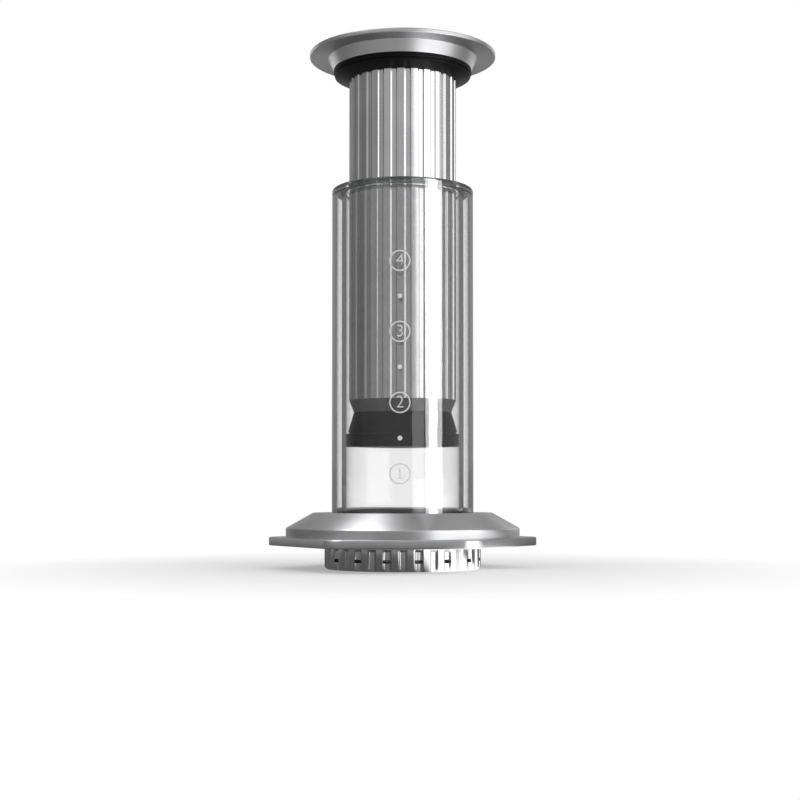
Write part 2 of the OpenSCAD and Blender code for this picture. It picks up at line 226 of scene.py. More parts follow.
def new_piece(name):
    """Names the primitive just added, puts its place into its mesh and opens it for shaping."""
    piece = bpy.context.object
    piece.name = piece.data.name = name
    bpy.ops.object.transform_apply(location=True, rotation=True, scale=True)
    bpy.ops.object.mode_set(mode="EDIT")
    bpy.ops.mesh.select_mode(type="VERT")
    bpy.ops.mesh.select_all(action="SELECT")
    return piece


def pick(piece, test, kind="VERT"):
    """Selects the corners, edges or faces of the open piece that pass a test."""
    bpy.ops.mesh.select_mode(type=kind)
    bpy.ops.mesh.select_all(action="DESELECT")
    shape = bmesh.from_edit_mesh(piece.data)
    for part in {"VERT": shape.verts, "EDGE": shape.edges, "FACE": shape.faces}[kind]:
        if test(part):
            part.select_set(True)
    shape.select_flush_mode()
    bmesh.update_edit_mesh(piece.data)


def close_up():
    """Merges doubled corners of the open piece and turns its faces outwards."""
    bpy.ops.mesh.select_all(action="SELECT")
    bpy.ops.mesh.remove_doubles(threshold=SAME_PLACE)
    bpy.ops.mesh.normals_make_consistent(inside=False)


def finish_shape():
    bpy.ops.object.mode_set(mode="OBJECT")
    bpy.ops.object.shade_smooth_by_angle(angle=SMOOTH_BELOW)


def apply_modifier(piece, kind, **settings):
    clear_selection()
    piece.select_set(True)
    bpy.context.view_layer.objects.active = piece
    modifier = piece.modifiers.new(kind.title(), kind)
    for name, value in settings.items():
        setattr(modifier, name, value)
    bpy.ops.object.modifier_apply(modifier=modifier.name)


def ease_edges(piece, width, sharp):
    """Rounds the sharp edges of a piece a little, and keeps its faces flat beside them."""
    bpy.ops.object.shade_smooth_by_angle(angle=SMOOTH_BELOW)
    apply_modifier(piece, "BEVEL", width=width, segments=2, limit_method="ANGLE", angle_limit=sharp,
                   harden_normals=True)


def carve(piece, cutter, operation="DIFFERENCE"):
    """Cuts a piece by another, or joins that on, and throws the cutter away."""
    apply_modifier(piece, "BOOLEAN", operation=operation, solver="EXACT", object=cutter)
    bpy.data.objects.remove(cutter)


def extrude(x=0.0, y=0.0, z=0.0):
    bpy.ops.mesh.extrude_region_move(TRANSFORM_OT_translate={"value": (x, y, z)})


def widen(factor):
    """Scales what is selected away from the axis of the press."""
    bpy.ops.transform.resize(value=(factor, factor, 1), center_override=(0, 0, 0))


def copies_around(count):
    """Repeats what is selected evenly round the axis."""
    bpy.ops.mesh.spin(steps=count - 1, dupli=True, angle=FULL_TURN * (count - 1) / count,
                      center=(0, 0, 0), axis=(0, 0, 1))


def rounded(corners, closed):
    """Points (radius, height) of a profile, each corner (radius, height, rounding) eased into an arc."""
    points = []
    for i, (r, z, *ease) in enumerate(corners):
        here = Vector((r, z))
        if not ease:
            points.append(here)
            continue
        to_last = (Vector(corners[i - 1][:2]) - here).normalized()
        to_next = (Vector(corners[(i + 1) % len(corners)][:2]) - here).normalized()
        half = to_last.angle(to_next) / 2
        centre = here + (to_last + to_next).normalized() * ease[0] / math.sin(half)
        start, end = (here + way * ease[0] / math.tan(half) - centre for way in (to_last, to_next))
        first = math.atan2(start.y, start.x)
        turn = (math.atan2(end.y, end.x) - first + math.pi) % FULL_TURN - math.pi
        steps = max(2, math.ceil(abs(turn) / ARC_STEP))
        for k in range(steps + 1):
            angle = first + turn * k / steps
            points.append(centre + ease[0] * Vector((math.cos(angle), math.sin(angle))))
    return points + points[:1] if closed else points


def turned(name, corners, closed=True, steps=SPIN_STEPS):
    """A piece spun from its profile. An open profile starts and ends on the axis."""
    path = [Vector((r, 0, z)) for r, z in rounded(corners, closed)]
    clear_selection()
    bpy.ops.mesh.primitive_plane_add(size=MM, location=path[0])
    piece = new_piece(name)
    bpy.ops.mesh.merge(type="CENTER")
    for here, there in zip(path, path[1:]):
        bpy.ops.mesh.extrude_vertices_move(TRANSFORM_OT_translate={"value": there - here})
    bpy.ops.mesh.select_all(action="SELECT")
    bpy.ops.mesh.remove_doubles(threshold=SAME_PLACE)
    bpy.ops.mesh.spin(steps=steps, angle=FULL_TURN, center=(0, 0, 0), axis=(0, 0, 1))
    close_up()
    finish_shape()
    return piece


def off_middle(place, first, count):
    """Angle from a place to the nearest of several evenly spaced middles."""
    pitch = FULL_TURN / count
    turn = (math.atan2(place.y, place.x) - first) % pitch
    return min(turn, pitch - turn)


def toothed_circle(name, radius, height, count, steps, first):
    """An open ring of corners, so many to each tooth, with a corner in the middle of each groove."""
    start = math.pi / 2
    pitch = FULL_TURN / count
    clear_selection()
    bpy.ops.mesh.primitive_circle_add(vertices=count * steps, radius=radius, location=(0, 0, height),
                                      rotation=(0, 0, (first - start) % pitch))
    return new_piece(name)


def sink_grooves(piece, first, count, steps, half, curve, depth, radius, height):
    """Sinks grooves with curved sides into a ring of corners, one step after the other."""
    step = FULL_TURN / count / steps
    for i, share in enumerate(curve, 1):
        reach = half + (len(curve) - i + 0.5) * step
        pick(piece, lambda corner: off_middle(corner.co, first, count) < reach
             and abs(corner.co.z - height) < SAME_PLACE)
        widen(1 - share * depth / radius)


# Pieces of the plunger

def press_plate():
    cone_top = plate_top - RIM_H
    cone_low = cone_top - CONE_H
    plug_r = tube_r - TUBE_WALL - PLUG_GAP
    plug_in = plug_r - PLUG_WALL
    return turned("turned_plate", [
        (0, plate_top), (plate_r, plate_top, RIM_ROUND), (plate_r, cone_top, RIM_ROUND),
        (plate_r - RIM_OVERHANG, cone_top, CONE_TOP_ROUND), (bumper_r, cone_low, CONE_LOW_ROUND),
        (plug_r, cone_low), (plug_r, plug_low), (plug_in, plug_low), (plug_in, cone_top),
        (BOSS_R, cone_top), (BOSS_R, plug_low), (BOLT_R, plug_low),
        (BOLT_R, plug_low + BOLT_BITE), (0, plug_low + BOLT_BITE)], closed=False)


def bumper():
    bead_low = bumper_top - BEAD_H
    return turned("silicone_bumper", [
        (tube_r + PLUG_GAP, bumper_top), (tube_r + PLUG_GAP, bumper_low),
        (bumper_r - BEAD_OUT, bumper_low + BUMPER_DROP, BUMPER_ROUND),
        (bumper_r - BEAD_GROOVE, bead_low), (bumper_r, bead_low, BEAD_ROUND),
        (bumper_r, bumper_top, BEAD_ROUND)])


def ribbed_tube():
    first = FRONT + GROOVE_TURN
    piece = toothed_circle("ribbed_tube", tube_r, tube_low, RIBS, STEPS_PER_RIB, first)
    inner = (tube_r - TUBE_WALL) / (tube_r - RIB_DEPTH)
    sink_grooves(piece, first, RIBS, STEPS_PER_RIB, GROOVE_HALF, GROOVE_CURVE, RIB_DEPTH,
                 tube_r, tube_low)
    bpy.ops.mesh.select_all(action="SELECT")
    extrude(z=tube_top - tube_low)
    extrude()
    widen(inner)
    extrude(z=tube_low - tube_top)
    extrude()
    widen(1 / inner)
    close_up()
    bpy.ops.object.mode_set(mode="OBJECT")
    ease_edges(piece, EASED_EDGE, TUBE_SHARP)
    return piece


def carrier():
    neck_r = tube_r - NECK_IN
    stem_r = neck_r - SEAL_WALL
    hub_r = stem_r + HUB_LIP
    plug_r = tube_r - TUBE_WALL - PLUG_GAP
    plug_in = plug_r - PLUG_WALL
    hub_top = hub_low + HUB_H
    return turned("tapered_carrier", [
        (BOLT_R, hub_low + BOLT_SEAT), (WASHER_R, hub_low + BOLT_SEAT), (WASHER_R, hub_low),
        (hub_r, hub_low), (hub_r, hub_top), (stem_r, hub_top), (stem_r, tube_low - TAPER_H),
        (neck_r, tube_low - TAPER_H, CARRIER_ROUND), (tube_r, tube_low, CARRIER_ROUND), (plug_r, tube_low),
        (plug_r, carrier_top), (plug_in, carrier_top), (plug_in, tube_low), (BOLT_R, tube_low)])


def seal():
    neck_r = tube_r - NECK_IN
    stem_r = neck_r - SEAL_WALL
    hub_r = stem_r + HUB_LIP
    lip_low = seal_low + DOME_H
    lip_top = lip_low + LIP_H
    skirt_low = lip_top + LIP_GROOVE_H
    dome = [((lip_r - LIP_ROUND) * i / DOME_STEPS, seal_low + DOME_H * (i / DOME_STEPS) ** 2)
            for i in range(DOME_STEPS)]
    edge_r = lip_r + LIP_OUT
    return turned("silicone_seal", dome + [
        (edge_r, lip_low, LIP_ROUND), (edge_r, lip_top, LIP_ROUND), (lip_r - LIP_GROOVE, lip_top),
        (lip_r - LIP_GROOVE, skirt_low), (lip_r - SKIRT_IN, skirt_low, SKIRT_ROUND),
        (neck_r, neck_top, SKIRT_ROUND), (stem_r, neck_top), (stem_r, hub_low + HUB_H),
        (hub_r, hub_low + HUB_H), (hub_r, hub_low), (0, hub_low)], closed=False)


# Pieces of the chamber

def glass_walls():
    glass_r = foot_r - FOOT_OUT
    gap_out = glass_r - OUTER_WALL
    gap_in = gap_out - AIR_GAP
    bore_r = gap_in - INNER_WALL
    bead_top = glass_low + FOOT_H
    return turned("glass_walls", [
        (bore_r, glass_low), (bore_r, glass_top, GLASS_ROUND), (glass_r, glass_top, GLASS_ROUND),
        (glass_r, bead_top, FOOT_ROUND), (foot_r, bead_top, FOOT_ROUND), (foot_r, glass_low, FOOT_EDGE),
        (gap_out, glass_low), (gap_out, glass_top - RIM_GLASS, GAP_ROUND),
        (gap_in, glass_top - RIM_GLASS, GAP_ROUND), (gap_in, glass_low)], steps=GLASS_STEPS)


def collar():
    glass_r = foot_r - FOOT_OUT
    ledge_r = glass_r + COLLAR_LEDGE
    clamp = collar_low + CLAMP_H
    return turned("clamp_collar", [
        (foot_r + COLLAR_GAP, collar_low), (collar_r, collar_low, COLLAR_EDGE),
        (collar_r, collar_top - SLOPE_DROP, COLLAR_ROUND), (ledge_r, collar_top, COLLAR_ROUND),
        (glass_r + COLLAR_GAP, collar_top, COLLAR_MOUTH), (glass_r + COLLAR_GAP, clamp),
        (foot_r + COLLAR_GAP, clamp)])


def flange():
    low, top = flange_low.z, flange_high.z
    flat_r = flange_high.y
    sixth = FULL_TURN / 6
    clear_selection()
    bpy.ops.mesh.primitive_cylinder_add(vertices=6, radius=flat_r / math.cos(sixth / 2), depth=top - low,
                                        location=(0, 0, (low + top) / 2), rotation=(0, 0, sixth / 2))
    piece = new_piece("hexagon_flange")
    pick(piece, lambda edge: abs(edge.verts[0].co.z - edge.verts[1].co.z) > SAME_PLACE, "EDGE")
    bpy.ops.mesh.bevel(offset=FLANGE_ROUND * math.tan(sixth / 2), segments=CORNER_ARCS, affect="EDGES")
    pick(piece, lambda edge: abs(edge.verts[0].co.z - edge.verts[1].co.z) < SAME_PLACE, "EDGE")
    bpy.ops.mesh.bevel(offset=FLANGE_EDGE, segments=EDGE_ARCS, affect="EDGES")
    close_up()
    bpy.ops.object.mode_set(mode="OBJECT")
    carve(piece, turned("outlet_cut", [
        (0, low - PAST), (RELIEF_R, low - PAST), (RELIEF_R, low + RELIEF_H), (OUTLET_R, low + RELIEF_H),
        (OUTLET_R, top - SHOULDER_H), (SHOULDER_R, top - SHOULDER_H), (SHOULDER_R, top + PAST),
        (0, top + PAST)], closed=False))
    clear_selection()
    sink = SCREW_HEAD_R - SCREW_R
    bpy.ops.mesh.primitive_cylinder_add(vertices=SCREW_STEPS, radius=SCREW_R, depth=top - low,
                                        location=(SCREW_CIRCLE, 0, (low + top) / 2 + sink))
    holes = new_piece("screw_holes")
    pick(holes, lambda face: face.normal.z < -0.5, "FACE")
    extrude(z=-sink)
    bpy.ops.transform.resize(value=(SCREW_HEAD_R / SCREW_R, SCREW_HEAD_R / SCREW_R, 1))
    extrude(z=-PAST)
    bpy.ops.mesh.select_all(action="SELECT")
    copies_around(SCREWS)
    bpy.ops.object.mode_set(mode="OBJECT")
    carve(piece, holes)
    bpy.ops.object.shade_smooth_by_angle(angle=SMOOTH_BELOW)
    return piece


def mark_ring(place):
    clear_selection()
    bpy.ops.mesh.primitive_circle_add(vertices=RING_STEPS, radius=MARK_RING_R, fill_type="NGON",
                                      location=place, rotation=UPRIGHT)
    piece = new_piece("mark_ring")
    bpy.ops.mesh.inset(thickness=MARK_STROKE)
    bpy.ops.mesh.delete(type="FACE")
    bpy.ops.object.mode_set(mode="OBJECT")
    return piece


def mark_dot(place):
    clear_selection()
    bpy.ops.mesh.primitive_circle_add(vertices=DOT_STEPS, radius=MARK_DOT_R, fill_type="NGON",
                                      location=place, rotation=UPRIGHT)
    piece = new_piece("mark_dot")
    bpy.ops.object.mode_set(mode="OBJECT")
    return piece


def mark_bar(place, width, height, turn):
    clear_selection()
    bpy.ops.mesh.primitive_plane_add(size=1, location=place, rotation=UPRIGHT)
    piece = new_piece("mark_bar")
    bpy.ops.transform.resize(value=(width, 1, height), center_override=place)
    bpy.ops.transform.rotate(value=turn, orient_axis="Y", center_override=place)
    bpy.ops.object.mode_set(mode="OBJECT")
    return piece


def mark_digit(place, digit):
    clear_selection()
    bpy.ops.object.text_add(location=place, rotation=UPRIGHT)
    text = bpy.context.object
    text.data.body = digit
    text.data.align_x = "CENTER"
    text.data.align_y = "CENTER"
    text.data.size = DIGIT_SIZE
    text.data.offset = -DIGIT_THIN
    bpy.ops.object.convert(target="MESH")
    piece = new_piece("mark_digit")
    bpy.ops.object.mode_set(mode="OBJECT")
    return piece


def level_marks():
    """Circled numbers and dots, flat at first and then laid on the front of the glass."""
    glass_r = foot_r - FOOT_OUT
    marks = []
    for i, digit in enumerate(MARK_DIGITS):
        place = Vector((MARK_X, -glass_r - PAST, MARK_FIRST_Z + i * MARK_SPACING))
        marks.append(mark_ring(place))
        if digit == "1":
            marks += [mark_bar(place + Vector((across, 0, up)), *bar) for across, up, *bar in ONE_BARS]
        else:
            marks.append(mark_digit(place, digit))
            marks.append(mark_dot(place - Vector((0, 0, MARK_SPACING / 2))))
    clear_selection()
    for mark in marks:
        mark.select_set(True)
    bpy.context.view_layer.objects.active = marks[0]
    bpy.ops.object.join()
    piece = bpy.context.object
    piece.name = piece.data.name = "level_marks"
    bpy.ops.object.mode_set(mode="EDIT")
    slices = math.ceil(2 * MARK_RING_R / PRINT_SLICE)
    for i in range(1, slices):
        bpy.ops.mesh.select_all(action="SELECT")
        across = MARK_X - MARK_RING_R + 2 * MARK_RING_R * i / slices
        bpy.ops.mesh.bisect(plane_co=(across, 0, 0), plane_no=(1, 0, 0))
    bpy.ops.mesh.select_all(action="SELECT")
    bpy.ops.mesh.remove_doubles(threshold=SAME_PLACE)
    pick(piece, lambda face: face.normal.y > 0, "FACE")
    bpy.ops.mesh.flip_normals()
    bpy.ops.object.mode_set(mode="OBJECT")
    apply_modifier(piece, "SHRINKWRAP", target=bpy.data.objects["glass_walls"], wrap_method="PROJECT",
                   use_project_y=True, use_project_x=False, use_project_z=False,
                   use_positive_direction=True, use_negative_direction=False, offset=PRINT_T / 4)
    apply_modifier(piece, "SOLIDIFY", thickness=PRINT_T, offset=1)
    return piece


# Filter cap

def cap_rings():
    """Heights of the rings down the cap's side, with their radius and the depth of the flutes there."""
    top = cap_top - FLUTE_RIM
    rings = [(top, cap_r, 0), (top - FLUTE_DEPTH, cap_r, FLUTE_DEPTH)]
    meets = math.acos(1 - FLUTE_DEPTH / CAP_ROUND)
    for turn in (0, meets / 2, meets, (meets + math.pi / 2) / 2, math.pi / 2):
        inwards = CAP_ROUND * (1 - math.cos(turn))
        height = cap_low + CAP_ROUND * (1 - math.sin(turn))
        rings.append((height, cap_r - inwards, max(0, FLUTE_DEPTH - inwards)))
    return rings


def filter_cap():
    piece = toothed_circle("fluted_cap", cap_r, cap_top, FLUTES, STEPS_PER_FLUTE, FRONT)
    height, radius = cap_top, cap_r
    for new_height, new_radius, _ in cap_rings():
        extrude(z=new_height - height)
        widen(new_radius / radius)
        height, radius = new_height, new_radius
    bpy.ops.mesh.edge_face_add()
    for height, radius, depth in cap_rings():
        sink_grooves(piece, FRONT, FLUTES, STEPS_PER_FLUTE, FLUTE_HALF, FLUTE_CURVE, depth,
                     radius, height)
    in_r = cap_r - CAP_WALL
    pick(piece, lambda corner: abs(corner.co.z - cap_top) < SAME_PLACE)
    extrude()
    widen(in_r / cap_r)
    extrude(z=CAP_FLOOR + SEAT_DEPTH - cap_top)
    extrude()
    widen(SEAT_R / in_r)
    extrude(z=-SEAT_DEPTH)
    bpy.ops.mesh.edge_face_add()
    close_up()
    bpy.ops.object.mode_set(mode="OBJECT")
    carve(piece, cap_cuts())
    carve(piece, cap_lugs(), "UNION")
    ease_edges(piece, EASED_EDGE, CAP_SHARP)
    return piece


def cap_cuts():
    """Slots in every second flute and circles of drain holes."""
    clear_selection()
    place = (cap_r - CAP_WALL / 2, 0, SLOT_Z)
    bpy.ops.mesh.primitive_cube_add(size=1, location=place)
    piece = new_piece("cap_cuts")
    bpy.ops.transform.resize(value=(CAP_WALL + PAST, SLOT_W, SLOT_H), center_override=place)
    turn = FRONT + FULL_TURN / FLUTES
    bpy.ops.transform.rotate(value=-turn, orient_axis="Z", center_override=(0, 0, 0))
    copies_around(FLUTES // 2)
    for circle in range(DRAIN_CIRCLES + 1):
        bpy.ops.mesh.select_all(action="DESELECT")
        bpy.ops.mesh.primitive_cylinder_add(vertices=DRAIN_STEPS, radius=DRAIN_R, depth=CAP_FLOOR + 2 * PAST,
                                            location=(circle * DRAIN_PITCH, 0, CAP_FLOOR / 2))
        if circle:
            copies_around(6 * circle)
    close_up()
    bpy.ops.object.mode_set(mode="OBJECT")
    return piece


def cap_lugs():
    """Twist-lock lugs inside the cap."""
    in_r = cap_r - CAP_WALL
    clear_selection()
    place = (in_r + (PAST - LUG_REACH) / 2, 0, LUG_LOW + LUG_H / 2)
    bpy.ops.mesh.primitive_plane_add(size=1, location=place, rotation=UPRIGHT)
    piece = new_piece("cap_lugs")
    bpy.ops.transform.resize(value=(LUG_REACH + PAST, 1, LUG_H), center_override=place)
    bpy.ops.transform.rotate(value=-FRONT - LUG_SPAN / 2, orient_axis="Z", center_override=(0, 0, 0))
    bpy.ops.mesh.spin(steps=LUG_STEPS, angle=LUG_SPAN, center=(0, 0, 0), axis=(0, 0, 1))
    bpy.ops.mesh.select_all(action="SELECT")
    copies_around(LUGS)
    close_up()
    bpy.ops.object.mode_set(mode="OBJECT")
    return piece


# Finishes

# Where most of a noise's values lie
NOISE_LOW = 0.3
NOISE_HIGH = 0.7


def new_finish(name):
    finish = bpy.data.materials.new(name)
    finish.use_nodes = True
    return finish, finish.node_tree.nodes["Principled BSDF"]


def add_node(finish, kind, inputs=None, **settings):
    node = finish.node_tree.nodes.new(kind)
    for name, value in settings.items():
        setattr(node, name, value)
    for name, value in (inputs or {}).items():
        node.inputs[name].default_value = value
    return node


def join(finish, start, end):
    finish.node_tree.links.new(start, end)


def grain(finish, scale, stretch=(1, 1, 1), detail=3.0):
    """A noise on the piece's own coordinates, its scale in spots per metre."""
    place = add_node(finish, "ShaderNodeTexCoord")
    mapping = add_node(finish, "ShaderNodeMapping", {"Scale": stretch})
    noise = add_node(finish, "ShaderNodeTexNoise", {"Scale": scale, "Detail": detail})
    join(finish, place.outputs["Object"], mapping.inputs["Vector"])
    join(finish, mapping.outputs["Vector"], noise.inputs["Vector"])
    return noise.outputs["Fac"]


def vary(finish, source, socket, low, high):
    """Leads a noise to a socket of the shader between two values."""
    spread = add_node(finish, "ShaderNodeMapRange", {"From Min": NOISE_LOW, "From Max": NOISE_HIGH,
                                                     "To Min": low, "To Max": high})
    join(finish, source, spread.inputs["Value"])
    join(finish, spread.outputs["Result"], socket)


def shade(finish, source, socket, dark, light):
    """Leads a noise to a colour socket between two colours."""
    ramp = add_node(finish, "ShaderNodeValToRGB")
    ramp.color_ramp.elements[0].position = NOISE_LOW
    ramp.color_ramp.elements[1].position = NOISE_HIGH
    ramp.color_ramp.elements[0].color = (*dark, 1)
    ramp.color_ramp.elements[1].color = (*light, 1)
    join(finish, source, ramp.inputs["Fac"])
    join(finish, ramp.outputs["Color"], socket)


def relief(finish, source, shader, strength, distance):
    bump = add_node(finish, "ShaderNodeBump", {"Strength": strength, "Distance": distance})
    join(finish, source, bump.inputs["Height"])
    join(finish, bump.outputs["Normal"], shader.inputs["Normal"])


def lathe_rings(finish, scale):
    """A noise drawn out into rings round the axis, its scale in rings per metre."""
    place = add_node(finish, "ShaderNodeTexCoord")
    axes = add_node(finish, "ShaderNodeSeparateXYZ")
    flat = add_node(finish, "ShaderNodeVectorMath", {1: (1, 1, 0)}, operation="MULTIPLY")
    radius = add_node(finish, "ShaderNodeVectorMath", operation="LENGTH")
    across = add_node(finish, "ShaderNodeCombineXYZ")
    noise = add_node(finish, "ShaderNodeTexNoise", {"Scale": scale, "Detail": 3.0})
    join(finish, place.outputs["Object"], axes.inputs["Vector"])
    join(finish, place.outputs["Object"], flat.inputs[0])
    join(finish, flat.outputs["Vector"], radius.inputs[0])
    join(finish, radius.outputs["Value"], across.inputs["X"])
    join(finish, axes.outputs["Z"], across.inputs["Y"])
    join(finish, across.outputs["Vector"], noise.inputs["Vector"])
    return noise.outputs["Fac"]


def metal(name, dark, light, smooth, rough, scale, stretch=(1, 1, 1), height=0.004 * MM,
          turned_finish=0.0):
    finish, shader = new_finish(name)
    shader.inputs["Metallic"].default_value = 1
    shader.inputs["Anisotropic"].default_value = turned_finish
    shader.inputs["Anisotropic Rotation"].default_value = 0.25
    fine = lathe_rings(finish, scale) if turned_finish else grain(finish, scale, stretch)
    shade(finish, grain(finish, 60, detail=2.0), shader.inputs["Base Color"], dark, light)
    vary(finish, fine, shader.inputs["Roughness"], smooth, rough)
    relief(finish, fine, shader, 0.25, height)
    return finish


def soft_rubber(name, dark, light, smooth, rough, scale, shine=0.25):
    finish, shader = new_finish(name)
    fine = grain(finish, scale)
    shade(finish, grain(finish, 120, detail=4.0), shader.inputs["Base Color"], dark, light)
    vary(finish, fine, shader.inputs["Roughness"], smooth, rough)
    relief(finish, fine, shader, 0.3, 0.01 * MM)
    shader.inputs["Specular IOR Level"].default_value = shine
    return finish


def clear_glass():
    """Clear, with painted shade where it is seen edge on and in the rim, standing in for the dark
    surroundings refracted there.
    """
    finish, shader = new_finish("clear_glass")
    place = add_node(finish, "ShaderNodeTexCoord")
    axes = add_node(finish, "ShaderNodeSeparateXYZ")
    rim = add_node(finish, "ShaderNodeMapRange", {"From Min": glass_top - GLASS_ROUND,
                                                  "From Max": glass_top - GLASS_ROUND / 2})
    weight = add_node(finish, "ShaderNodeLayerWeight", {"Blend": 0.5})
    edge = add_node(finish, "ShaderNodeMapRange", {"From Min": 0.75, "From Max": 1, "To Max": 0.5})
    painted_shade_share = add_node(finish, "ShaderNodeMath", operation="MAXIMUM")
    # Painted shade: the colour goes from white to near black at the edges and in the rim, for dark refracted
    # surroundings
    painted_edge_shade = add_node(finish, "ShaderNodeValToRGB")
    painted_edge_shade.color_ramp.elements[0].color = (1, 1, 1, 1)
    painted_edge_shade.color_ramp.elements[1].color = (0.1, 0.11, 0.11, 1)
    join(finish, place.outputs["Object"], axes.inputs["Vector"])
    join(finish, axes.outputs["Z"], rim.inputs["Value"])
    join(finish, weight.outputs["Facing"], edge.inputs["Value"])
    join(finish, rim.outputs["Result"], painted_shade_share.inputs[0])
    join(finish, edge.outputs["Result"], painted_shade_share.inputs[1])
    join(finish, painted_shade_share.outputs["Value"], painted_edge_shade.inputs["Fac"])
    join(finish, painted_edge_shade.outputs["Color"], shader.inputs["Base Color"])
    shader.inputs["Transmission Weight"].default_value = 1
    shader.inputs["IOR"].default_value = 1.47
    shader.inputs["Roughness"].default_value = 0
    return finish


def printed_white():
    finish, shader = new_finish("white_print")
    shade(finish, grain(finish, 2500), shader.inputs["Base Color"],
          (0.66, 0.66, 0.66), (0.74, 0.74, 0.74))
    shader.inputs["Roughness"].default_value = 0.5
    return finish


def filter_paper():
    finish, shader = new_finish("filter_paper")
    fibres = grain(finish, 1500, detail=6.0)
    shade(finish, fibres, shader.inputs["Base Color"], (0.78, 0.75, 0.68), (0.88, 0.85, 0.8))
    shader.inputs["Roughness"].default_value = 0.9
    relief(finish, fibres, shader, 0.5, 0.03 * MM)
    return finish


FINISHES = {
    "satin_aluminium": metal("satin_aluminium", (0.56, 0.56, 0.57), (0.62, 0.62, 0.63), 0.33, 0.43, 1600,
                             height=0.003 * MM, turned_finish=0.7),
    "ribbed_aluminium": metal("ribbed_aluminium", (0.63, 0.63, 0.64), (0.69, 0.69, 0.7), 0.17, 0.21,
                              4000, stretch=(1, 1, 0.01), height=0.0006 * MM),
    "cap_steel": metal("cap_steel", (0.56, 0.56, 0.56), (0.62, 0.62, 0.62), 0.18, 0.25, 1500,
                       stretch=(1, 1, 0.1)),
    "screw_steel": metal("screw_steel", (0.54, 0.54, 0.55), (0.6, 0.6, 0.61), 0.25, 0.35, 2000),
    "black_silicone": soft_rubber("black_silicone", (0.002, 0.002, 0.0022), (0.004, 0.004, 0.0043),
                                  0.3, 0.4, 3000, shine=0.15),
    "seal_rubber": soft_rubber("seal_rubber", (0.04, 0.04, 0.043), (0.055, 0.055, 0.059),
                               0.5, 0.6, 3000),
    "carrier_grey": soft_rubber("carrier_grey", (0.23, 0.23, 0.237), (0.28, 0.28, 0.288),
                                0.42, 0.5, 4000),
    "clear_glass": clear_glass(),
    "filter_paper": filter_paper(),
    "white_print": printed_white(),
}

record = frame["record"]
SLOT_OF = {part["node"]: part["material_slot"] for part in record["subparts"]}
BODY_OF = {node: body for body, nodes in record["behaviour"]["bodies"].items() for node in nodes}


def stand_for(piece, node):
    """A new piece takes the place, the body and the finish of a node."""
    piece.data.materials.clear()
    piece.data.materials.append(FINISHES[SLOT_OF[node]])
    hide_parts(node)
    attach(piece, BODY_OF[node])


REMADE = {
    "press_plate": press_plate,
    "bumper_ring": bumper,
    "plunger_tube": ribbed_tube,
    "seal_carrier": carrier,
    "plunger_seal": seal,
    "glass_chamber": glass_walls,
    "flange_collar": collar,
    "flange_plate": flange,
    "filter_cap": filter_cap,
}
for name, make in REMADE.items():
    stand_for(make(), name)
for name, node in frame["nodes"].items():
    if name not in REMADE:
        node.material_slots[0].material = FINISHES[SLOT_OF[name]]

marks = level_marks()
marks.data.materials.clear()
marks.data.materials.append(FINISHES["white_print"])
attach(marks, "chamber")


# Camera, as far off and as high as the photograph was taken

CAMERA_PLACE = (-1.26 * MM, -729.6 * MM, 35.5 * MM)
CAMERA_TILT = math.radians(1.68)
PICTURE_PX = 800
FOCAL_PX = 1517
SHIFT_PX = 50


def camera():
    bpy.ops.object.camera_add(location=CAMERA_PLACE, rotation=(math.pi / 2 + CAMERA_TILT, 0, 0))
    eye = bpy.context.object
    eye.data.sensor_width = 36
    eye.data.lens = eye.data.sensor_width * FOCAL_PX / PICTURE_PX
    eye.data.shift_y = SHIFT_PX / PICTURE_PX
    eye.data.clip_start = 0.01
    bpy.context.scene.camera = eye


# Floor and light

FLOOR_R = 0.7
MIDDLE = (0, 0, 0.12)
# Grey of the studio from the front, 0, to the back, 1, and what it is multiplied by from the left
# to the right
SURROUNDINGS = ((0, 0.35), (0.25, 0.34), (0.5, 0.28), (0.7, 0.22), (0.88, 0.22), (1, 0.36))
SIDES = ((0, 0.5), (0.05, 1.15), (0.09, 0.8), (0.16, 1.15), (0.5, 1.15), (1, 1.4))
# Share of it that the faces within the glass walls mirror
GLASS_MIRROR = 0.55
# Height of the white backdrop, as the rise of the line of sight to its upper edge
BACKDROP_TOP = 0.36
# Most faces of the glass that light meets before it is past both walls and back out
GLASS_FACES = 6.5
# Share of white that the floor keeps in the shadow, and how far off the shadow starts to fade and ends
SHADOW_WHITE = 0.35
SHADOW_NEAR = 0.06
SHADOW_FAR = 0.22
# Painted greys that the floor glows with in reflections: painted shade close by and behind, lighter in front
# and seen in the glass, and a painted pool of light
FLOOR_BEHIND = 0.14
FLOOR_IN_FRONT = 0.45
FLOOR_IN_GLASS = 0.4
PAINTED_POOL_GREY = 1.8
PAINTED_POOL_WAY = (0.8, -0.6, 0)


def sees_straight(tree):
    """A factor for the Light Path: 1 for what the camera sees itself or straight through glass."""
    path = add_node(tree, "ShaderNodeLightPath")
    bounced = add_node(tree, "ShaderNodeMath", operation="ADD")
    straight = add_node(tree, "ShaderNodeMath", {1: 0.5}, operation="LESS_THAN")
    through = add_node(tree, "ShaderNodeMath", operation="MULTIPLY")
    seen = add_node(tree, "ShaderNodeMath", operation="MAXIMUM")
    join(tree, path.outputs["Glossy Depth"], bounced.inputs[0])
    join(tree, path.outputs["Diffuse Depth"], bounced.inputs[1])
    join(tree, bounced.outputs["Value"], straight.inputs[0])
    join(tree, straight.outputs["Value"], through.inputs[0])
    join(tree, path.outputs["Is Transmission Ray"], through.inputs[1])
    join(tree, through.outputs["Value"], seen.inputs[0])
    join(tree, path.outputs["Is Camera Ray"], seen.inputs[1])
    return path, seen.outputs["Value"]


